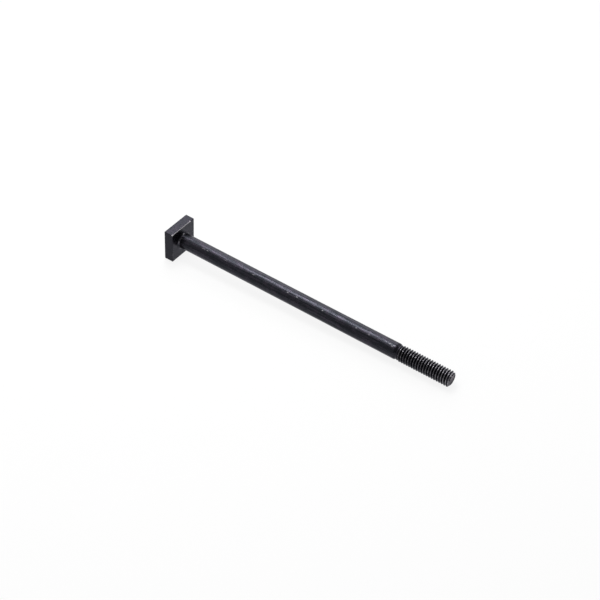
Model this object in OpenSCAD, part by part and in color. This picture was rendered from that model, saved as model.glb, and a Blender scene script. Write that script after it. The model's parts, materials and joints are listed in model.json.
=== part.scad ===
// Square-headed exhaust bolt: one steel forging with a long plain shank and a rolled thread at its end.
// The bolt is drawn along its own axis, +X from the head's bearing face to the point, and is then
// laid down as it comes to rest: on the lower edge of its head and on the end of its thread.

/* [Head] */
// Width of the square head across its flats
head_w = 20.2; // [16:0.1:26]
// Thickness of the head, from its outer face to its bearing face
head_t = 5.95; // [4:0.05:9]
// Rounding of the head's four corner edges, which run along the bolt
head_corner_r = 0.3; // [0.2:0.05:1.5]
// Rounding of the edges round the outer face
head_outer_r = 0.35; // [0.2:0.05:1.5]
// Rounding of the edges round the bearing face
head_bearing_r = 0.3; // [0.1:0.05:1]

/* [Shank] */
// Length of the bolt under its head
bolt_len = 184; // [120:1:260]
// Diameter of the plain shank
shank_d = 9.4; // [7.5:0.1:12]
// Radius of the fillet between the shank and the bearing face
fillet_r = 1.2; // [0.4:0.1:2]

/* [Thread] */
// Outside diameter of the thread over its crests
thread_major_d = 9.4; // [7.5:0.1:12]
// Pitch of the thread
thread_pitch = 1.5875; // [1:0.0125:2]
// Length of the thread, from its first shallow turn to the point
thread_len = 33.75; // [15:0.25:60]
// Turns over which the thread grows to its full height
runout_turns = 1.5; // [1:0.5:3]
// Length of the taper between the shank and the thread's blank
taper_len = 0.9; // [0.5:0.1:5]

/* [Point] */
// Depth of the end chamfer, from the crests in to the flat end
point_depth = 0.85; // [0.3:0.05:1.5]
// Angle of the end chamfer, measured from the axis
point_angle = 45; // [30:1:60]

/* [Hidden] */

$fn = 96;
overlap = 0.5;

shank_r = shank_d / 2;
thread_r = thread_major_d / 2;
point_r = thread_r - point_depth;

// a thread is rolled on its pitch diameter, which on a 60 degree thread is 0.6495 pitches under the crests
blank_r = thread_r - 0.6495 * thread_pitch / 2;

// stations along the axis, from the bearing face
thread_x = bolt_len - thread_len;
taper_x = thread_x - taper_len;
full_thread_x = thread_x + runout_turns * thread_pitch;
chamfer_x = bolt_len - point_depth / tan(point_angle);

// the lying pose: the point dips until the last crest, or the end of a thicker shank, meets the ground
edge_drop = head_w / 2 - head_bearing_r;
tilt = min(dip(chamfer_x, thread_r), dip(taper_x, shank_r));
ground_z = head_bearing_r * sin(tilt) - edge_drop * cos(tilt) - head_bearing_r;

// the ends of the lying bolt, which put its middle over the origin
outer_edge = head_w / 2 - head_outer_r;
back_x = (head_outer_r - head_t) * cos(tilt) - outer_edge * sin(tilt) - head_outer_r;
front_x = bolt_len * cos(tilt) + point_r * sin(tilt);

// How far the axis dips when the ground touches the bearing face's rounded edge and radius r at station x
function dip(x, r) =
    atan2(edge_drop - r, x + head_bearing_r)
    + asin(head_bearing_r / norm([x + head_bearing_r, edge_drop - r]));

// A rectangle between two corners, with one radius at its low-X corners and one at its high-X corners
module rounded_plate(low, high, low_r, high_r) {
    difference() {
        translate(low) square(high - low);
        for (side = [0, 1]) {
            corner_notch([low.x, side == 0 ? low.y : high.y], low_r, [1, side == 0 ? 1 : -1]);
            corner_notch([high.x, side == 0 ? low.y : high.y], high_r, [-1, side == 0 ? 1 : -1]);
        }
    }
}

// What a rounding of radius r takes off the corner at a point, towards the side that inward gives
module corner_notch(corner, r, inward) {
    translate(corner) difference() {
        translate([inward.x > 0 ? -overlap : -r, inward.y > 0 ? -overlap : -r])
            square(r + overlap);
        translate(inward * r) circle(r);
    }
}

// The square head, rounded along every edge, as three outlines that cross
module head() {
    half = head_w / 2;
    intersection() {
        translate([-head_t - overlap, 0, 0]) rotate([90, 0, 90])
            linear_extrude(head_t + 2 * overlap)
                rounded_plate([-half, -half], [half, half], head_corner_r, head_corner_r);
        translate([0, 0, -half - overlap])
            linear_extrude(head_w + 2 * overlap)
                rounded_plate([-head_t, -half], [0, half], head_outer_r, head_bearing_r);
        translate([0, half + overlap, 0]) rotate([90, 0, 0])
            linear_extrude(head_w + 2 * overlap)
                rounded_plate([-head_t, -half], [0, half], head_outer_r, head_bearing_r);
    }
}

// Half outline of the shank, with the radius along X and the bolt's axis along Y
module shank_outline() {
    polygon([
        [0, -overlap],
        [shank_r + fillet_r, -overlap],
        [shank_r + fillet_r, 0],
        [shank_r, fillet_r],
        [shank_r, taper_x],
        [blank_r, thread_x],
        [thread_r, full_thread_x],
        [thread_r, chamfer_x],
        [point_r, bolt_len],
        [0, bolt_len]
    ]);
}

// Everything round: fillet, plain shank, taper, thread envelope and chamfered point, turned as one
module shaft() {
    rotate([0, 90, 0]) rotate_extrude()
        difference() {
            shank_outline();
            translate([shank_r + fillet_r, fillet_r]) circle(fillet_r);
        }
}

// The whole bolt, black-oxide steel, lying on the ground with its middle over the origin
module bolt() {
    color("#2b2b30")
        translate([-(back_x + front_x) / 2, 0, -ground_z])
            rotate([0, tilt, 0])
                union() {
                    head();
                    shaft();
                }
}

bolt();
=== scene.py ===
"""Looks of a square-head exhaust bolt, hot-headed and thread-rolled from round bar and finished in black oxide.

The bolt is one closed surface, worked out ring by ring from the head to the point. All sizes are millimetres in the
bolt's own frame: +X runs from the head's bearing face to the point, and the head's top flat faces +Z. Lie turns and
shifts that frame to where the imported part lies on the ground.
"""

import json
import logging
import math
from dataclasses import dataclass, field
from enum import Enum

import bmesh
import bpy
import numpy as np
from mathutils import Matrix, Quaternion, Vector


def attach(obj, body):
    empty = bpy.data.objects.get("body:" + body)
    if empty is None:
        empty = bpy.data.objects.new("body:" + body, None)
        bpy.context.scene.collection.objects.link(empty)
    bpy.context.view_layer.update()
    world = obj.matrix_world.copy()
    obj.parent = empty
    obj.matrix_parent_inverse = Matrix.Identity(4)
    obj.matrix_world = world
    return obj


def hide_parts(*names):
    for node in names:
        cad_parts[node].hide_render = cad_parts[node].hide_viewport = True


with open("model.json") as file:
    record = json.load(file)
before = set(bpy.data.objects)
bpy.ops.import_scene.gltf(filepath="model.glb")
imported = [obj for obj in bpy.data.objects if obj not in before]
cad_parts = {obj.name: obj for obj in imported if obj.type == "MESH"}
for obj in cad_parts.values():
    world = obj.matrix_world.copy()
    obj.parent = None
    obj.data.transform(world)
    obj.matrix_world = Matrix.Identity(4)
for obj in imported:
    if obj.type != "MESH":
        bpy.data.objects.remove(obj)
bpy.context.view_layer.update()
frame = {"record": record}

MM = 0.001
COLUMNS = 160

# Settings and socket numbers of the nodes that a material uses most. A Mix node takes its two numbers at 2 and 3 and
# gives one at 0, and it takes its two colours at 6 and 7 and gives one at 2.
SMOOTH = {"interpolation_type": "SMOOTHSTEP"}
MIX_NUMBERS = {"data_type": "FLOAT"}
MIX_COLOURS = {"data_type": "RGBA"}

log = logging.getLogger("exhaust_bolt")


class Hand(Enum):
    """Which way a thread winds as it runs along +X."""

    RIGHT = 1
    LEFT = -1


# ---------------------------------------------------------------- small helpers


def linear(colour: str) -> tuple[float, float, float, float]:
    """Turns an sRGB hex colour into linear RGBA.

    Args:
        colour: six hex digits, with or without a leading #.

    Returns:
        Linear red, green and blue, and an alpha of 1.
    """
    digits = colour.lstrip("#")
    parts = [int(digits[k : k + 2], 16) / 255 for k in (0, 2, 4)]
    lit = [c / 12.92 if c <= 0.04045 else ((c + 0.055) / 1.055) ** 2.4 for c in parts]
    return lit[0], lit[1], lit[2], 1.0


def ramp(value: np.ndarray, start: float, end: float) -> np.ndarray:
    """Rises smoothly from 0 at start to 1 at end, level at both, by the cubic 3t² - 2t³."""
    t = np.clip((value - start) / (end - start), 0.0, 1.0)
    return t * t * (3 - 2 * t)


def bell(value: np.ndarray, centre: float, width: float) -> np.ndarray:
    """A bell curve of height 1 whose value is exp(-1) at one width from its centre."""
    return np.exp(-(((value - centre) / width) ** 2))


def add_node(
    tree: bpy.types.NodeTree,
    kind: str,
    settings: dict | None = None,
    inputs: dict | None = None,
) -> bpy.types.Node:
    """Adds one node with its settings, socket values and links.

    Args:
        tree: the node tree that gets it.
        kind: the node's Blender type name.
        settings: the node's own properties by name.
        inputs: input sockets by name or number, each with a value or with the output socket that feeds it.

    Returns:
        The new node.
    """
    node = tree.nodes.new(kind)
    for name, value in (settings or {}).items():
        setattr(node, name, value)
    for name, value in (inputs or {}).items():
        if isinstance(value, bpy.types.NodeSocket):
            tree.links.new(value, node.inputs[name])
        else:
            node.inputs[name].default_value = value
    return node


def rings(x: np.ndarray, radius: np.ndarray) -> np.ndarray:
    """Rings about the X axis.

    A point is (x, r cos a, r sin a), where a goes once round from +Y through +Z in equal steps.

    Args:
        x: place along the axis, rings by 1, or rings by columns.
        radius: radius, rings by 1, or rings by columns.

    Returns:
        An array of rings by columns by 3.
    """
    angle = 2 * math.pi * np.arange(COLUMNS) / COLUMNS
    x, radius, angle = np.broadcast_arrays(x, radius, angle)
    return np.stack([x, radius * np.cos(angle), radius * np.sin(angle)], axis=-1)


# ---------------------------------------------------------------- worn places, and places of painted light


@dataclass(frozen=True)
class Knock:
    """A knock that has bared an edge: how strong it is, its place in the bolt's frame and its spread."""

    strength: float
    place: tuple[float, float, float]
    spread: float
    edge_gap: float = 0.1

    def on(self, points: np.ndarray) -> np.ndarray:
        """The wear at each point: a bell curve of its distance, highest where the rounded edge comes nearest."""
        return self.strength * bell(np.linalg.norm(points - np.array(self.place), axis=1), self.edge_gap, self.spread)


@dataclass(frozen=True)
class RoundPatch:
    """A round patch, for scuffs and painted glints: its strength, and its middle and spread along the axis and around
    it.
    """

    strength: float
    along: tuple[float, float]
    around: tuple[float, float]

    def on(self, x: np.ndarray, turn: np.ndarray) -> np.ndarray:
        """Its strength at places in millimetres along the axis and degrees around it: one bell curve times another.
        """
        return self.strength * bell(x, *self.along) * bell(turn, *self.around)


@dataclass(frozen=True)
class FacingSide:
    """A side of something round, for wear and painted light: its strength, which way it faces, where it starts and is
    full.
    """

    strength: float
    facing: tuple[float, float]
    span: tuple[float, float]

    def on(self, y: np.ndarray, z: np.ndarray) -> np.ndarray:
        """The strength at places across the axis: a smooth ramp of how far they lie towards the side."""
        return self.strength * ramp(self.facing[0] * y + self.facing[1] * z, *self.span)


# ---------------------------------------------------------------- the bolt


@dataclass(frozen=True)
class Lie:
    """Where the bolt lies: its tilt and its origin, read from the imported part's bearing-face mount."""

    tilt: float
    origin: tuple[float, float, float]

    @classmethod
    def from_record(cls, record: dict) -> "Lie":
        """Finds the lie from the mount on the bearing face, which faces along the bolt's axis.

        Args:
            record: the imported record.

        Returns:
            The tilt in radians, point end down, and the origin in millimetres.
        """
        mount = next(m for m in record["mounts"] if m["name"] == "bearing_face")
        along, _, down = mount["axis"]
        x, _, z = (value / MM for value in mount["pos_m"])
        return cls(math.atan2(-down, along), (x, 0.0, z))

    def placed(self, points: np.ndarray) -> np.ndarray:
        """Turns points about Y by the tilt and shifts them to the origin.

        Args:
            points: bolt-frame points by 3, in millimetres.

        Returns:
            The points where the bolt lies, in metres.
        """
        cos, sin = math.cos(self.tilt), math.sin(self.tilt)
        turn = np.array([[cos, 0, sin], [0, 1, 0], [-sin, 0, cos]])
        return (points @ turn.T + np.array(self.origin)) * MM


@dataclass(frozen=True)
class SquareHead:
    """The hot-headed square head, a plate whose corners and edges are rolled over."""

    across_flats: float = 20.2
    thickness: float = 5.95
    corner_r: float = 0.3
    least_corner_r: float = 0.02
    outer_edge_r: float = 0.35
    bearing_edge_r: float = 0.3
    edge_steps: int = 6
    corner_columns: int = 10
    side_rings: int = 8
    seam: float = 0.05
    outer_face_shares: tuple[float, ...] = (0, 0.03, 0.12, 0.25, 0.4, 0.55, 0.7, 0.85, 0.95, 0.993)
    bearing_face_shares: tuple[float, ...] = (0.007, 0.06, 0.15, 0.3, 0.45, 0.6, 0.75, 0.9, 0.98)
    top_edge_rub: float = 0.75
    top_edge_inset: float = 0.08
    top_edge_width: float = 0.27
    top_edge_span: tuple[float, float] = (-10.1, 6.9)
    top_edge_fade: float = 0.3
    knocks: tuple[Knock, ...] = (Knock(1.0, (0.0, -10.1, 10.1), 0.42), Knock(0.8, (0.0, 6.8, 10.1), 0.36))
    upright_polish: float = 0.42
    upright_inset: float = 0.1
    upright_width: float = 0.4
    upright_least: float = 0.4
    upright_place: tuple[float, float] = (-4, 5)
    # Painted shade: the head's flat that faces -Y is coloured darker, by this share, between these two depths in from
    # it.
    shade_strength: float = 0.7
    shade_depth: tuple[float, float] = (0.5, 0.1)
    shade_end: float = 0.1

    def outline(self, inset: np.ndarray) -> np.ndarray:
        """The square's outline with round corners, drawn in by each of the insets.

        Each quarter of the columns covers one corner: half a flat, the corner's arc, and half a flat. The flats move
        in by the inset and the arc's radius shrinks by it, so the arcs share one centre, as on a rolled ball corner.

        Args:
            inset: how far each outline lies inside the full one.

        Returns:
            An array of outlines by columns by 2, for Y and Z.
        """
        quarter = COLUMNS // 4
        flat_columns = (quarter - self.corner_columns) // 2
        half = self.across_flats / 2 - inset[:, None]
        radius = np.maximum(self.corner_r - inset[:, None], self.least_corner_r)
        centre = half - radius
        step = np.arange(quarter)[None, :]
        rise = centre * np.clip(step / flat_columns, 0, 1)
        turn = np.clip((step - flat_columns) / self.corner_columns, 0, 1) * math.pi / 2
        fall = centre * np.clip((quarter - step) / flat_columns, 0, 1)
        y = np.where(step >= quarter - flat_columns, fall, centre + radius * np.cos(turn))
        z = np.where(step > flat_columns, centre + radius * np.sin(turn), rise)
        quarters = [np.stack([y, z], axis=-1)]
        for _ in range(3):
            last = quarters[-1]
            quarters.append(np.stack([-last[..., 1], last[..., 0]], axis=-1))
        return np.concatenate(quarters, axis=1)

    def rings(self, fillet_start: np.ndarray) -> np.ndarray:
        """The head's surface, from the middle of its outer face, round its edges, to where the fillet starts.

        The edges are quarter arcs in depth and inset. Close rings on each side of an edge hold the flats flat. On the
        bearing face each point goes in a straight line from the square outline to the fillet's ring.

        Args:
            fillet_start: the fillet's first ring, columns by 3.

        Returns:
            An array of rings by columns by 3.
        """
        arc = np.linspace(0, math.pi / 2, self.edge_steps + 1)
        outer_inset = self.outer_edge_r * (1 - np.sin(arc))
        outer_x = -self.thickness + self.outer_edge_r * (1 - np.cos(arc))
        bearing_inset = self.bearing_edge_r * (1 - np.cos(arc))
        bearing_x = -self.bearing_edge_r * (1 - np.sin(arc))
        side_x = np.linspace(outer_x[-1] + self.seam, bearing_x[0] - self.seam, self.side_rings)
        inset = np.concatenate([outer_inset, np.zeros(len(side_x)), bearing_inset])
        depth = np.concatenate([outer_x, side_x, bearing_x])
        edges = self.outline(inset)
        edges = np.concatenate([np.broadcast_to(depth[:, None, None], (*edges.shape[:2], 1)), edges], axis=-1)
        middle = np.array([-self.thickness, 0.0, 0.0])
        outer_face = middle + (edges[0] - middle) * np.array(self.outer_face_shares)[:, None, None]
        bearing_face = edges[-1] + (fillet_start - edges[-1]) * np.array(self.bearing_face_shares)[:, None, None]
        return np.concatenate([outer_face, edges, bearing_face])

    def rubbed(self, points: np.ndarray) -> np.ndarray:
        """How far handling has rubbed the oxide off the head, from 0 to 1.

        The top edge of the bearing face is rubbed along most of its length, by a bell curve of the distance from the
        edge, and it is knocked bare at both ends of that line.

        Args:
            points: bolt-frame points by 3.

        Returns:
            One value for each point.
        """
        x, y, z = points.T
        start, end = self.top_edge_span
        from_edge = np.hypot(x + self.top_edge_inset, z - self.across_flats / 2 + self.top_edge_inset)
        started = ramp(y, start - self.top_edge_fade, start + self.top_edge_fade)
        stopped = ramp(-y, -end - self.top_edge_fade, -end + self.top_edge_fade)
        line = self.top_edge_rub * bell(from_edge, 0, self.top_edge_width) * started * stopped
        return np.clip(line + sum(knock.on(points) for knock in self.knocks), 0, 1)

    def polish_and_glints(self, points: np.ndarray) -> np.ndarray:
        """How far the upright edge below the knocked corner is polished, from 0 to 1, most in its lower half.

        Args:
            points: bolt-frame points by 3.

        Returns:
            One value for each point.
        """
        x, y, z = points.T
        from_edge = np.hypot(x + self.upright_inset, y + self.across_flats / 2 - self.upright_inset)
        lower = self.upright_least + (1 - self.upright_least) * bell(z, *self.upright_place)
        return self.upright_polish * bell(from_edge, 0, self.upright_width) * lower

    def painted_shade(self, points: np.ndarray) -> np.ndarray:
        """How much the flat that faces -Y is painted darker, from 0 to 1: a painted shade on that side of the head.

        Args:
            points: bolt-frame points by 3.

        Returns:
            One value for each point.
        """
        x, y, _ = points.T
        outside, inside = (self.across_flats / 2 - depth for depth in self.shade_depth)
        return self.shade_strength * (x < self.shade_end) * ramp(-y, outside, inside)


@dataclass(frozen=True)
class DrawnShank:
    """The plain shank: drawn bar, filleted into the head, drawn down at its end to the thread's blank."""

    radius: float = 4.7
    fillet_r: float = 1.2
    fillet_rings: int = 9
    taper_start: float = 149.35
    thread_start: float = 150.25
    blank_r: float = 4.184
    taper_rings: int = 9
    ring_gap: float = 1.25
    unevenness: float = 0.012
    waves: tuple[tuple[float, float, int, float], ...] = ((1.0, 7.9, 2, 0.0), (0.8, 4.3, -3, 1.1), (0.6, 2.6, 5, 0.0))
    uneven_from: float = 12.0
    uneven_fade: float = 10.0
    # Bare specks in a line along the upper front side, where they catch the lamp: wear, and painted glints by where
    # they lie.
    glint_specks: tuple[RoundPatch, ...] = tuple(
        RoundPatch(0.85, (x, 0.9), (119, 4.5)) for x in (16.8, 19.6, 33.0, 53.0, 77.0, 83.0, 101.0, 123.5, 131.5, 146.5)
    )
    # Painted highlight: polish on the upper side near the thread, which makes the lamp's highlight there brighter.
    painted_highlight: RoundPatch = RoundPatch(0.37, (146.35, 9), (107, 11))
    # Painted glints: polish in four patches round the fillet, where it catches the lamps.
    fillet_glints: tuple[RoundPatch, ...] = (
        RoundPatch(0.5, (0.5, 0.45), (162, 20)),
        RoundPatch(0.62, (0.5, 0.45), (92, 16)),
        RoundPatch(0.3, (0.5, 0.45), (125, 25)),
        RoundPatch(0.75, (1.7, 0.9), (129, 10)),
    )
    drawn_from: float = 0.3

    def fillet(self) -> np.ndarray:
        """The fillet: a quarter arc from the bearing face to the shank, as rings."""
        arc = np.linspace(0, math.pi / 2, self.fillet_rings)[:, None]
        return rings(self.fillet_r * (1 - np.cos(arc)), self.radius + self.fillet_r * (1 - np.sin(arc)))

    def body(self) -> np.ndarray:
        """The shank from the fillet to the start of the thread, as rings.

        The radius is level, then falls in a straight cone to the blank. Three sine waves, together up to 0.024 mm
        deep, keep the bar's highlight from running dead straight. Each has a share of that depth, a length along the
        bar for one radian, a number of lobes around it and a phase. They fade out at both ends.

        Returns:
            An array of rings by columns by 3.
        """
        count = round((self.taper_start - self.fillet_r) / self.ring_gap)
        level = np.linspace(self.fillet_r, self.taper_start, count + 1)[1:]
        cone = np.linspace(self.taper_start, self.thread_start, self.taper_rings)[1:-1]
        x = np.concatenate([level, cone])[:, None]
        angle = 2 * math.pi * np.arange(COLUMNS) / COLUMNS
        fall = (x - self.taper_start) / (self.thread_start - self.taper_start)
        radius = self.radius - (self.radius - self.blank_r) * np.clip(fall, 0, 1)
        swell = sum(share * np.sin(x / length + lobes * angle + phase) for share, length, lobes, phase in self.waves)
        swell = swell / sum(share for share, *_ in self.waves)
        started = ramp(x, self.fillet_r, self.uneven_from)
        stopped = ramp(-x, -self.taper_start, -self.taper_start + self.uneven_fade)
        return rings(x, radius - self.unevenness * started * stopped * (1 + swell))

    def polish_and_glints(self, points: np.ndarray) -> np.ndarray:
        """How far handling has polished the shank, with painted light added: bare specks along its upper front side,
        set only where they catch the lamp and so partly painted glints, a painted highlight near the thread, and
        painted glints on its fillet.

        Args:
            points: bolt-frame points by 3.

        Returns:
            One value for each point, 0 where it is as finished and 1 or more where it is bright.
        """
        x, y, z = points.T
        turn = np.degrees(np.arctan2(z, y))
        spots = np.maximum.reduce([patch.on(x, turn) for patch in (*self.glint_specks, self.painted_highlight)])
        fillet = sum(patch.on(x, turn) for patch in self.fillet_glints)
        return np.where(x > self.thread_start, 0, spots + fillet * (x > 0))

    def drawn(self, points: np.ndarray) -> np.ndarray:
        """Where the surface is drawn bar, 1, and not the forged head, 0."""
        return ramp(points[:, 0], self.drawn_from, self.fillet_r)


@dataclass(frozen=True)
class RolledThread:
    """The rolled thread: a 60 degree ridge with a round crest and root, wound along the blank to the point."""

    start: float = 150.25
    end: float = 184.0
    crest_r: float = 4.7
    blank_r: float = 4.184
    pitch: float = 1.5875
    hand: Hand = Hand.RIGHT
    runout_turns: float = 1.5
    chamfer: float = 0.85
    rounding: float = 1.6
    rounding_drop: float = 0.42
    crest_round: float = 0.07
    root_round: float = 0.21
    depth: float = 0.586
    first_crest: float = -0.25
    steps: tuple[float, ...] = (
        -0.5, -0.45, -0.4, -0.36, -0.318, -0.19,
        -0.061, -0.032, 0.0, 0.032, 0.061,
        0.19, 0.318, 0.36, 0.4, 0.45,
    )
    least_polished_r: tuple[float, float] = (3.55, 3.75)
    crest_polish: float = 0.13
    crest_sides: tuple[FacingSide, ...] = (
        FacingSide(0.08, (-0.98, -0.2), (0.47, 2.115)),
        FacingSide(0.22, (1.0, -0.5), (0.94, 3.29)),
    )
    crest_band: tuple[float, float] = (0.3, 0.1)
    root_polish: float = 0.72
    # Painted highlight: more polish on the roots' upper side, where the lamps light them.
    painted_root_highlight: FacingSide = FacingSide(0.28, (0.0, 1.0), (-1.88, 2.82))
    root_band: tuple[float, float] = (0.6, 0.78)
    root_along: float = 0.53
    root_rises: tuple[tuple[float, float, float], ...] = ((0.12, 170.25, 9.0), (0.48, 184.0, 5.5))

    def depth_at(self, offset: np.ndarray) -> np.ndarray:
        """Depth of the thread form below its crest.

        A round crest, a straight flank at 60 degrees to the axis and a round root meet tangent to each other.

        Args:
            offset: distance along the axis from the nearest crest, in pitches, from -0.5 to 0.5.

        Returns:
            The depth, in pitches.
        """
        away = np.abs(offset)
        crest = self.crest_round - np.sqrt(np.clip(self.crest_round**2 - away**2, 0, None))
        flank = math.sqrt(3) * away - self.crest_round
        into_root = 0.5 - away
        root = self.depth - self.root_round + np.sqrt(np.clip(self.root_round**2 - into_root**2, 0, None))
        crest_end = self.crest_round * math.cos(math.pi / 6)
        root_end = 0.5 - self.root_round * math.cos(math.pi / 6)
        return np.where(away < crest_end, crest, np.where(away > root_end, root, flank))

    def offset_at(self, x: np.ndarray, turn: np.ndarray) -> np.ndarray:
        """Distance from the nearest crest, in pitches, at a place along the axis and a share of a full turn."""
        along = (x - self.end) / self.pitch - self.hand.value * turn - self.first_crest
        return (along + 0.5) % 1 - 0.5

    def radius_at(self, x: np.ndarray, turn: np.ndarray) -> np.ndarray:
        """The surface's radius.

        The thread form grows out of the blank in step with the run-out, and the point cuts it. The point is a 45
        degree chamfer, less a rounding that grows with the square of the way into it.

        Args:
            x: place along the axis.
            turn: share of a full turn, from 0 at +Y through +Z.

        Returns:
            The radius in millimetres.
        """
        full = self.crest_r - self.pitch * self.depth_at(self.offset_at(x, turn))
        growth = np.clip((x - self.start) / (self.runout_turns * self.pitch), 0, 1)
        cone = self.crest_r + self.end - self.chamfer - x
        left = np.clip(self.end - x, 0, self.rounding)
        rounded = cone - self.rounding_drop * (1 - left / self.rounding) ** 2
        return np.minimum(self.blank_r + (full - self.blank_r) * growth, rounded)

    def polish_and_glints(self, points: np.ndarray) -> np.ndarray:
        """How far the rolling dies and the nut have polished the thread, from 0 to 1, plus a painted highlight atop
        its roots.

        The roots are polished, most at the point, by bell curves along the axis, and more on their upper side, which
        is a painted highlight where the lamps light them. The crests are polished a little, and more along the two
        sides that the bolt comes to lie on as it rolls. The face of the end isn't.

        Args:
            points: bolt-frame points by 3.

        Returns:
            One value for each point.
        """
        x, y, z = points.T
        away = 2 * np.abs(self.offset_at(x, np.arctan2(z, y) / (2 * math.pi)))
        on_thread = ramp(x, self.start, self.start + self.pitch) * ramp(np.hypot(y, z), *self.least_polished_r)
        flank, top = self.crest_band
        crest = self.crest_polish + sum(side.on(y, z) for side in self.crest_sides)
        along = self.root_along + sum(rise * bell(x, middle, spread) for rise, middle, spread in self.root_rises)
        root = (self.root_polish + self.painted_root_highlight.on(y, z)) * along
        return on_thread * np.clip(crest * ramp(-away, -flank, -top) + root * ramp(away, *self.root_band), 0, 1)

    def painted_shade(self, points: np.ndarray) -> np.ndarray:
        """Where the colour is painted darker, 1: all of the thread, a painted shade that stands in for the near-black
        of its flanks.
        """
        return ramp(points[:, 0], self.start, self.start + self.pitch)

    def grid(self) -> tuple[np.ndarray, int]:
        """The thread as a grid that winds with the ridge.

        A row follows one level of the form: its points move along the axis by one pitch in a full turn. So a row's
        last column meets the first column of the row one pitch on. Points past either end are held at that end.

        Returns:
            An array of rows by columns by 3, and how many rows make one pitch.
        """
        turns = math.ceil((self.end - self.start) / self.pitch) + 3
        level = np.arange(-turns, 3)[:, None] + np.array(self.steps)[None, :]
        turn = np.arange(COLUMNS)[None, :] / COLUMNS
        x = self.end + self.pitch * (level.reshape(-1, 1) + self.first_crest + self.hand.value * turn)
        x = np.clip(x, self.start, self.end)
        return rings(x, self.radius_at(x, turn)), len(self.steps)


@dataclass(frozen=True)
class ShearedEnd:
    """The face at the point, left by the shear and scuffed, with a rolled lip round it and a shallow dimple."""

    x: float = 184.0
    cup: float = 0.5
    lip: float = 1.1
    dimple: float = 0.28
    dimple_r: float = 1.2
    mark_depth: float = 0.012
    mark_gap: float = 0.95
    rim_shares: tuple[float, float] = (0.985, 0.95)
    ring_count: int = 32
    torn_depth: tuple[float, float] = (0.9, 0.85)
    torn_r: tuple[float, float] = (3.1, 2.7)
    torn_least: float = 0.35
    torn_side: FacingSide = FacingSide(0.65, (1.0, 0.6), (-2.0, 2.0))

    def rings(self, rim: np.ndarray) -> np.ndarray:
        """Rings from the rim to the middle, each a share of the rim.

        The face lies a little below its lip, which slopes in from the rim. It is sunk further by a bell-shaped dimple
        and by round marks, whose depth goes as 1 - cos of the radius.

        Args:
            rim: the thread's last ring, columns by 3.

        Returns:
            An array of rings by columns by 3.
        """
        first, second = self.rim_shares
        share = np.concatenate([[first], np.linspace(second, 0, self.ring_count)])[:, None]
        y, z = rim[:, 1] * share, rim[:, 2] * share
        radius = np.hypot(y, z)
        inward = np.hypot(rim[:, 1], rim[:, 2]) - radius
        marks = self.mark_depth * (1 - np.cos(2 * math.pi * radius / self.mark_gap))
        sunk = (self.cup + marks) * ramp(inward, 0, self.lip) + self.dimple * bell(radius, 0, self.dimple_r)
        return np.stack([self.x - sunk, y, z], axis=-1)

    def sheared(self, points: np.ndarray) -> np.ndarray:
        """How far the shear has torn the face grey, from 0 to 1: inside its lip, most on its upper far side.

        Args:
            points: bolt-frame points by 3.

        Returns:
            One value for each point.
        """
        x, y, z = points.T
        deepest, deep = self.torn_depth
        outer_r, inner_r = self.torn_r
        torn = self.torn_least + self.torn_side.on(y, z)
        return ramp(x, self.x - deepest, self.x - deep) * ramp(-np.hypot(y, z), -outer_r, -inner_r) * torn


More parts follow.
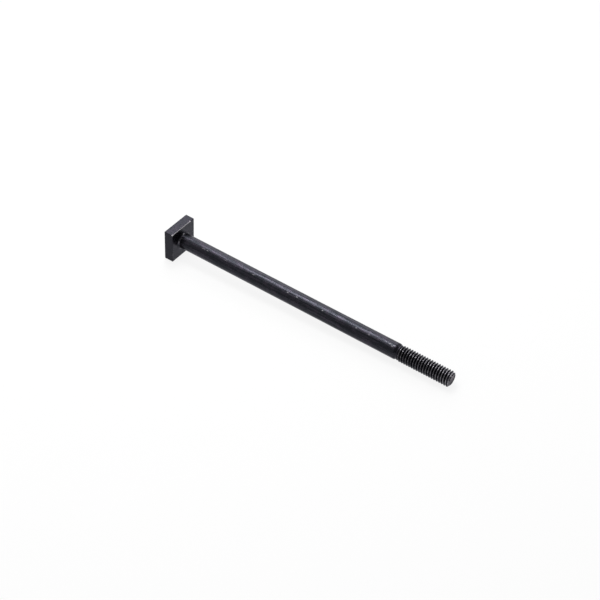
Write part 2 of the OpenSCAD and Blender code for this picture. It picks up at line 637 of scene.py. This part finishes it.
@dataclass
class Bolt:
    """The whole bolt: its surface, its worn places and its places of painted light and shade."""

    lie: Lie
    head: SquareHead = field(default_factory=SquareHead)
    shank: DrawnShank = field(default_factory=DrawnShank)
    thread: RolledThread = field(default_factory=RolledThread)
    point: ShearedEnd = field(default_factory=ShearedEnd)
    merge_gap: float = 0.004
    crease: float = 38.0

    def surface(self) -> tuple[np.ndarray, np.ndarray]:
        """The bolt's points, and its faces as quads.

        All points of the first row lie in one place, and all of the last row too, so that merging them closes the
        bolt at both ends.

        Returns:
            Points by 3 in the bolt frame, and faces by 4 point numbers.
        """
        fillet = self.shank.fillet()
        smooth = np.concatenate([self.head.rings(fillet[0]), fillet, self.shank.body()])
        wound, pitch_rows = self.thread.grid()
        end = self.point.rings(wound[-1])
        points = np.concatenate([smooth, wound, end])
        number = np.arange(points[..., 0].size).reshape(-1, COLUMNS)
        smooth_rows, wound_rows, end_rows = np.split(number, [len(smooth), len(smooth) + len(wound)])
        shift = pitch_rows * self.thread.hand.value
        wound_next = np.roll(wound_rows, -1, axis=1)
        wound_next[:, -1] = np.roll(wound_rows[:, 0], -shift)
        open_rows = len(wound_rows) - abs(shift)
        before = np.concatenate([smooth_rows, wound_rows[:1]])
        after = np.concatenate([wound_rows[-1:], end_rows])
        faces = [
            self.quads(before, np.roll(before, -1, axis=1)),
            self.quads(wound_rows[:open_rows], wound_next[:open_rows]),
            self.quads(after, np.roll(after, -1, axis=1)),
        ]
        return points.reshape(-1, 3), np.concatenate(faces)

    @staticmethod
    def quads(rows: np.ndarray, beside: np.ndarray) -> np.ndarray:
        """Faces between each row and the next, where beside holds each point's neighbour one column on."""
        return np.stack([rows[:-1], beside[:-1], beside[1:], rows[1:]], axis=-1).reshape(-1, 4)

    def mesh(self) -> bpy.types.Object:
        """Makes the mesh, merges what lies in one place, and keeps each point's wear and painted light and shade as
        attributes.

        Returns:
            The bolt's object, at the origin, with its place in its mesh.
        """
        points, faces = self.surface()
        data = bpy.data.meshes.new("bolt_steel")
        data.vertices.add(len(points))
        data.vertices.foreach_set("co", self.lie.placed(points).astype(np.float32).ravel())
        data.loops.add(faces.size)
        data.loops.foreach_set("vertex_index", faces.astype(np.int32).ravel())
        data.polygons.add(len(faces))
        data.polygons.foreach_set("loop_start", np.arange(0, faces.size, 4, dtype=np.int32))
        data.polygons.foreach_set("use_smooth", np.ones(len(faces), dtype=bool))
        for name, values in self.wear_and_painted_light(points).items():
            data.attributes.new(name, "FLOAT", "POINT").data.foreach_set("value", values.astype(np.float32))
        data.update(calc_edges=True)
        work = bmesh.new()
        work.from_mesh(data)
        bmesh.ops.remove_doubles(work, verts=work.verts[:], dist=self.merge_gap * MM)
        work.to_mesh(data)
        work.free()
        data.set_sharp_from_angle(angle=math.radians(self.crease))
        piece = bpy.data.objects.new("bolt_steel", data)
        bpy.context.scene.collection.objects.link(piece)
        return piece

    def wear_and_painted_light(self, points: np.ndarray) -> dict[str, np.ndarray]:
        """The state of the surface at each point, as one value for each of the attributes that the finish reads.

        Args:
            points: bolt-frame points by 3.

        Returns:
            One array for each attribute: where the oxide is worn through to bare steel; where it is polished, and
                where
            polish paints glints and a highlight; where the thread and the head's -Y flat are painted darker, a
            painted shade; where drawing marks run along the bar; and where the end is torn grey, in that order.
        """
        return {
            "rubbed": self.head.rubbed(points),
            "polish_and_glints": sum(part.polish_and_glints(points) for part in (self.thread, self.shank, self.head)),
            "painted_shade": np.maximum(self.thread.painted_shade(points), self.head.painted_shade(points)),
            "drawn": self.shank.drawn(points),
            "sheared": self.point.sheared(points),
        }


# ---------------------------------------------------------------- finishes


@dataclass(frozen=True)
class BlackOxideSteel:
    """Black oxide on drawn carbon steel, lightly oiled.

    The oxide is magnetite a micron thick: a near-black metal, a shade of plum or blue-grey. The oil makes it
    semi-gloss, with soft highlights that the drawing marks break into lengthwise streaks. Where it is rubbed through,
    bare steel shines. Its pores are full of oil, which is no metal: so it is a little less than fully metallic, and
    its glancing reflections are a shade under white.
    """

    oxide_dark: str = "#1f2126"
    oxide_blue: str = "#313138"
    oxide_plum: str = "#35313a"
    # Painted shade: the darker colour laid on all of the thread and on the head's flat that faces -Y.
    painted_shade_colour: str = "#19191f"
    # Polished steel, also the colour of the painted glints and the painted highlights on the shank and the thread's
    # roots.
    polish_and_glint_grey: str = "#8e8c91"
    steel: str = "#bebcbe"
    sheared_grey: str = "#8b868a"
    edge_tint: str = "#eeeef2"
    metallic: float = 0.88
    gloss: float = 0.29
    gloss_range: float = 0.05
    polish_and_glint_gloss: float = 0.24
    bare_gloss: float = 0.42
    sheared_gloss: float = 0.5
    # Drawing marks are a tenth of a millimetre wide, and they are drawn 0.7 mm wide to show as streaks.
    streak_width: float = 0.7
    streak_length: float = 14.0
    streak_slant: float = 0.04
    streak_depth: float = 0.020
    # Forging scale leaves flecks of half a millimetre, drawn 1.1 mm across to show on the head.
    scale_size: float = 1.1
    # The bath's patches are 2 to 3 mm across on the real finish too.
    mottle_size: float = 2.6
    mottle_depth: float = 0.05
    # The oxide's own grain is a few microns. It is drawn 0.45 mm across, the finest that shows.
    grain_size: float = 0.45
    grain_depth: float = 0.006
    tilt: float = 0.0

    def patterns(self, tree: bpy.types.NodeTree) -> dict[str, bpy.types.NodeSocket]:
        """The finish's patterns, each noise at its own size in millimetres, and the attributes that hold the wear and
        the painted light and shade.

        The bolt's tilt is turned back first, so that the drawing marks run along the bar.

        Args:
            tree: the material's node tree.

        Returns:
            Output sockets by name.
        """
        place = add_node(tree, "ShaderNodeTexCoord").outputs["Object"]
        level = add_node(
            tree, "ShaderNodeMapping", {"vector_type": "POINT"},
            {"Vector": place, "Rotation": (0.0, -self.tilt, 0.0)},
        ).outputs["Vector"]
        along, across = 1 / (MM * self.streak_length), 1 / (MM * self.streak_width)
        stretched = add_node(
            tree, "ShaderNodeMapping", None,
            {"Vector": level, "Rotation": (0.0, 0.0, self.streak_slant), "Scale": (along, across, across)},
        ).outputs["Vector"]
        noises = {
            "streaks": {"Vector": stretched, "Scale": 1.0, "Detail": 3.0, "Roughness": 0.65},
            "mottle": {"Vector": level, "Scale": 1 / (MM * self.mottle_size), "Detail": 4.0, "Roughness": 0.6},
            "scale": {"Vector": level, "Scale": 1 / (MM * self.scale_size), "Detail": 3.0, "Roughness": 0.7},
            "grain": {"Vector": level, "Scale": 1 / (MM * self.grain_size), "Detail": 2.0, "Roughness": 0.7},
        }
        wear_and_painted_light = ("rubbed", "polish_and_glints", "painted_shade", "drawn", "sheared")
        found = {name: add_node(tree, "ShaderNodeTexNoise", None, inputs) for name, inputs in noises.items()}
        found |= {name: add_node(tree, "ShaderNodeAttribute", {"attribute_name": name}) for name in wear_and_painted_light}
        return {name: node.outputs["Fac"] for name, node in found.items()}

    def states(
        self, tree: bpy.types.NodeTree, made: dict[str, bpy.types.NodeSocket]
    ) -> dict[str, bpy.types.NodeSocket]:
        """How uneven, polished, bare and torn the surface is, the polish with its painted glints: each attribute of
        wear and painted light, its edge broken up by a noise.

        Args:
            tree: the material's node tree.
            made: the sockets that patterns gives.

        Returns:
            Output sockets by name.
        """
        patches = add_node(
            tree, "ShaderNodeMapRange", None,
            {"Value": made["scale"], "From Min": 0.3, "From Max": 0.7, "To Min": 0.1, "To Max": 0.9},
        ).outputs["Result"]
        lines = add_node(
            tree, "ShaderNodeMapRange", None, {"Value": made["streaks"], "From Min": 0.3, "From Max": 0.7}
        ).outputs["Result"]
        marks = add_node(tree, "ShaderNodeMix", MIX_NUMBERS, {0: made["drawn"], 2: patches, 3: lines}).outputs[0]
        uneven = add_node(tree, "ShaderNodeMath", {"operation": "ADD"}, {0: marks, 1: made["mottle"]}).outputs[0]
        polish_and_glint_level = add_node(
            tree, "ShaderNodeMath", {"operation": "ADD"}, {0: made["polish_and_glints"], 1: made["grain"]}
        ).outputs[0]
        polish_and_glint_mask = add_node(
            tree, "ShaderNodeMapRange", SMOOTH, {"Value": polish_and_glint_level, "From Min": 0.8, "From Max": 1.3}
        ).outputs["Result"]
        rubbed = add_node(
            tree, "ShaderNodeMath", {"operation": "MULTIPLY_ADD", "use_clamp": True},
            {0: made["grain"], 1: 0.2, 2: made["rubbed"]},
        ).outputs[0]
        bare = add_node(
            tree, "ShaderNodeMapRange", SMOOTH, {"Value": rubbed, "From Min": 0.4, "From Max": 0.95}
        ).outputs["Result"]
        flecks = add_node(
            tree, "ShaderNodeMapRange", None,
            {"Value": made["scale"], "From Min": 0.3, "From Max": 0.65, "To Min": 0.15, "To Max": 1.0},
        ).outputs["Result"]
        torn = add_node(
            tree, "ShaderNodeMath", {"operation": "MULTIPLY"}, {0: made["sheared"], 1: flecks}
        ).outputs[0]
        return {"uneven": uneven, "polish_and_glint_mask": polish_and_glint_mask, "bare": bare, "torn": torn}

    def colour(
        self, tree: bpy.types.NodeTree, made: dict[str, bpy.types.NodeSocket]
    ) -> bpy.types.NodeSocket:
        """The colour: the oxide's shades by how thick it lies, then a painted shade, torn grey, polish with its
        painted glints and highlight, and bare steel over them.

        Args:
            tree: the material's node tree.
            made: the sockets that patterns and states give.

        Returns:
            The colour's output socket.
        """
        thickness = add_node(
            tree, "ShaderNodeMapRange", SMOOTH, {"Value": made["uneven"], "From Min": 0.62, "From Max": 1.38}
        ).outputs["Result"]
        hue = add_node(
            tree, "ShaderNodeMapRange", SMOOTH, {"Value": made["mottle"], "From Min": 0.4, "From Max": 0.6}
        ).outputs["Result"]
        pale = add_node(
            tree, "ShaderNodeMix", MIX_COLOURS, {0: hue, 6: linear(self.oxide_blue), 7: linear(self.oxide_plum)}
        ).outputs[2]
        colour = add_node(
            tree, "ShaderNodeMix", MIX_COLOURS, {0: thickness, 6: linear(self.oxide_dark), 7: pale}
        ).outputs[2]
        # Painted shade, torn grey, polish with its painted glints and highlight, and bare steel, each over the last.
        coats = (
            (made["painted_shade"], self.painted_shade_colour),
            (made["torn"], self.sheared_grey),
            (made["polish_and_glint_mask"], self.polish_and_glint_grey),
            (made["bare"], self.steel),
        )
        for share, coat in coats:
            colour = add_node(tree, "ShaderNodeMix", MIX_COLOURS, {0: share, 6: colour, 7: linear(coat)}).outputs[2]
        return colour

    def roughness(
        self, tree: bpy.types.NodeTree, made: dict[str, bpy.types.NodeSocket]
    ) -> bpy.types.NodeSocket:
        """The roughness: the oiled oxide's, a little lower where it lies thick, then that of polish with its painted
        glints, of bare steel and of the sheared face.

        Args:
            tree: the material's node tree.
            made: the sockets that patterns and states give.

        Returns:
            The roughness's output socket.
        """
        dull, shiny = self.gloss + self.gloss_range, self.gloss - self.gloss_range
        rough = add_node(
            tree, "ShaderNodeMapRange", None,
            {"Value": made["uneven"], "From Min": 0.6, "From Max": 1.4, "To Min": dull, "To Max": shiny},
        ).outputs["Result"]
        coats = (
            (made["polish_and_glint_mask"], self.polish_and_glint_gloss),
            (made["bare"], self.bare_gloss),
            (made["sheared"], self.sheared_gloss),
        )
        for share, coat in coats:
            rough = add_node(tree, "ShaderNodeMix", MIX_NUMBERS, {0: share, 2: rough, 3: coat}).outputs[0]
        return rough

    def material(self) -> bpy.types.Material:
        """Builds the node material: the worn colour and roughness over three depths of fine relief.

        Returns:
            The material.
        """
        made = bpy.data.materials.new("black_oxide_steel")
        made.use_nodes = True
        tree = made.node_tree
        tree.nodes.clear()
        patterns = self.patterns(tree)
        patterns |= self.states(tree, patterns)
        relief = {}
        for name, depth in (
            ("mottle", self.mottle_depth), ("streaks", self.streak_depth), ("grain", self.grain_depth)
        ):
            height = {"Height": patterns[name], "Distance": depth * MM, "Strength": 1.0}
            relief = {"Normal": add_node(tree, "ShaderNodeBump", None, height | relief).outputs["Normal"]}
        shader = add_node(
            tree, "ShaderNodeBsdfPrincipled", None,
            {
                "Base Color": self.colour(tree, patterns),
                "Metallic": self.metallic,
                "Roughness": self.roughness(tree, patterns),
                "Specular Tint": linear(self.edge_tint),
            } | relief,
        )
        add_node(tree, "ShaderNodeOutputMaterial", None, {"Surface": shader.outputs["BSDF"]})
        return made


@dataclass(frozen=True)
class WhiteBoard:
    """A matt white painted board under the bolt, even and without gloss."""

    colour: str = "#f4f4f4"
    glow: float = 0.86

    def material(self) -> bpy.types.Material:
        """Matt paint, part of which shows plain white to the eye and in reflections, so that the shadow stays faint.

        Returns:
            The material.
        """
        made = bpy.data.materials.new("matt_white_board")
        made.use_nodes = True
        tree = made.node_tree
        tree.nodes.clear()
        seen = add_node(tree, "ShaderNodeLightPath").outputs
        lit = seen["Is Camera Ray"]
        for ray in ("Is Glossy Ray", "Is Transmission Ray"):
            lit = add_node(tree, "ShaderNodeMath", {"operation": "MAXIMUM"}, {0: lit, 1: seen[ray]}).outputs[0]
        share = add_node(tree, "ShaderNodeMath", {"operation": "MULTIPLY"}, {0: lit, 1: self.glow}).outputs[0]
        paint = add_node(tree, "ShaderNodeBsdfDiffuse", None, {"Color": linear(self.colour)}).outputs["BSDF"]
        white = add_node(
            tree, "ShaderNodeEmission", None, {"Color": (1, 1, 1, 1), "Strength": 1.0}
        ).outputs["Emission"]
        mixed = add_node(tree, "ShaderNodeMixShader", None, {0: share, 1: paint, 2: white}).outputs["Shader"]
        add_node(tree, "ShaderNodeOutputMaterial", None, {"Surface": mixed})
        return made


# ---------------------------------------------------------------- the studio


@dataclass(frozen=True)
class Softbox:
    """A rectangular lamp that faces the bolt."""

    name: str
    place: tuple[float, float, float]
    size: tuple[float, float]
    radiance: float
    aim: tuple[float, float, float] = (0.0, 0.0, 0.0)

    def light(self) -> bpy.types.Object:
        """Hangs the lamp, with its power worked out from its size and radiance.

        Returns:
            The lamp.
        """
        data = bpy.data.lights.new(self.name, "AREA")
        data.shape = "RECTANGLE"
        data.size, data.size_y = self.size
        data.energy = math.pi * self.size[0] * self.size[1] * self.radiance
        lamp = bpy.data.objects.new(self.name, data)
        lamp.location = self.place
        lamp.rotation_mode = "QUATERNION"
        lamp.rotation_quaternion = (Vector(self.aim) - Vector(self.place)).to_track_quat("-Z", "Y")
        lamp.visible_camera = False
        bpy.context.scene.collection.objects.link(lamp)
        return lamp


@dataclass(frozen=True)
class Viewpoint:
    """The camera: what it looks at, from where and how far, in metres and degrees."""

    target: tuple[float, float, float] = (-0.0049, 0.0001, 0.0081)
    distance: float = 0.7716
    azimuth: float = 33.74
    elevation: float = 42.2
    roll: float = 2.05
    lens: float = 82.0
    nearest: float = 0.01

    def camera(self) -> bpy.types.Object:
        """Sets up the scene's camera. At azimuth 0 it looks along +Y.

        Returns:
            The camera.
        """
        azimuth, elevation = math.radians(self.azimuth), math.radians(self.elevation)
        back = Vector(
            (math.sin(azimuth) * math.cos(elevation), -math.cos(azimuth) * math.cos(elevation), math.sin(elevation))
        )
        data = bpy.data.cameras.new("viewpoint")
        data.lens = self.lens
        data.clip_start = self.nearest
        camera = bpy.data.objects.new("viewpoint", data)
        camera.location = Vector(self.target) + back * self.distance
        camera.rotation_mode = "QUATERNION"
        level = (-back).to_track_quat("-Z", "Y")
        camera.rotation_quaternion = level @ Quaternion((0, 0, 1), math.radians(self.roll))
        bpy.context.scene.collection.objects.link(camera)
        bpy.context.scene.camera = camera
        return camera


@dataclass
class Studio:
    """A matt white board, softboxes overhead and on all sides, and a room that is paler behind the bolt."""

    board: WhiteBoard = field(default_factory=WhiteBoard)
    board_side: float = 12.0
    softboxes: tuple[Softbox, ...] = (
        Softbox("overhead_softbox", (-0.24, 0.10, 0.67), (0.28, 0.38), 6.7),
        Softbox("small_softbox", (-0.22, 0.19, 0.66), (0.14, 0.14), 16.0),
        Softbox("near_softbox", (-0.27, -0.23, 0.62), (0.28, 0.22), 1.8),
        Softbox("back_softbox", (-0.41, 0.72, 0.56), (0.70, 0.75), 2.1),
        Softbox("right_softbox", (0.50, 0.56, 0.51), (0.20, 0.25), 4.2),
        Softbox("front_softbox", (-0.41, -0.80, 0.50), (1.00, 0.70), 0.48),
    )
    pale_side: tuple[float, float, float] = (-0.50, 0.80, 0.10)
    dark_below: float = 0.25
    pale_above: float = 0.95
    pale: float = 0.85
    dark: float = 0.2

    def floor(self) -> bpy.types.Object:
        """Lays the board level with the ground.

        Returns:
            The board.
        """
        half = self.board_side / 2
        corners = [(-half, -half, 0), (half, -half, 0), (half, half, 0), (-half, half, 0)]
        data = bpy.data.meshes.new("board")
        data.from_pydata(corners, [], [(0, 1, 2, 3)])
        data.materials.append(self.board.material())
        board = bpy.data.objects.new("board", data)
        bpy.context.scene.collection.objects.link(board)
        return board

    def room(self) -> bpy.types.World:
        """Makes the world: brightness rises smoothly from the dark side to the pale side, by direction alone.

        Returns:
            The world.
        """
        world = bpy.data.worlds.new("room")
        world.use_nodes = True
        tree = world.node_tree
        tree.nodes.clear()
        way = add_node(tree, "ShaderNodeTexCoord").outputs["Generated"]
        side = Vector(self.pale_side).normalized()
        facing = add_node(
            tree, "ShaderNodeVectorMath", {"operation": "DOT_PRODUCT"}, {0: way, 1: side}
        ).outputs["Value"]
        level = add_node(
            tree, "ShaderNodeMapRange", SMOOTH,
            {
                "Value": facing, "From Min": self.dark_below, "From Max": self.pale_above,
                "To Min": self.dark, "To Max": self.pale,
            },
        ).outputs["Result"]
        sky = add_node(tree, "ShaderNodeBackground", None, {"Color": (1, 1, 1, 1), "Strength": level})
        add_node(tree, "ShaderNodeOutputWorld", None, {"Surface": sky.outputs["Background"]})
        bpy.context.scene.world = world
        return world

    def light(self) -> None:
        """Lights the scene."""
        self.room()
        for softbox in self.softboxes:
            softbox.light()


def main() -> None:
    logging.basicConfig(level=logging.INFO, format="%(message)s")
    bpy.context.scene.view_settings.view_transform = "Standard"
    Viewpoint().camera()

    lie = Lie.from_record(frame["record"])
    bolt = Bolt(lie)
    piece = bolt.mesh()
    piece.data.materials.append(BlackOxideSteel(tilt=lie.tilt).material())
    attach(piece, "root")
    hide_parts("bolt")
    log.info("%s: %d points, %d faces", piece.name, len(piece.data.vertices), len(piece.data.polygons))

    studio = Studio()
    studio.floor()
    studio.light()


if __name__ == "__main__":
    main()
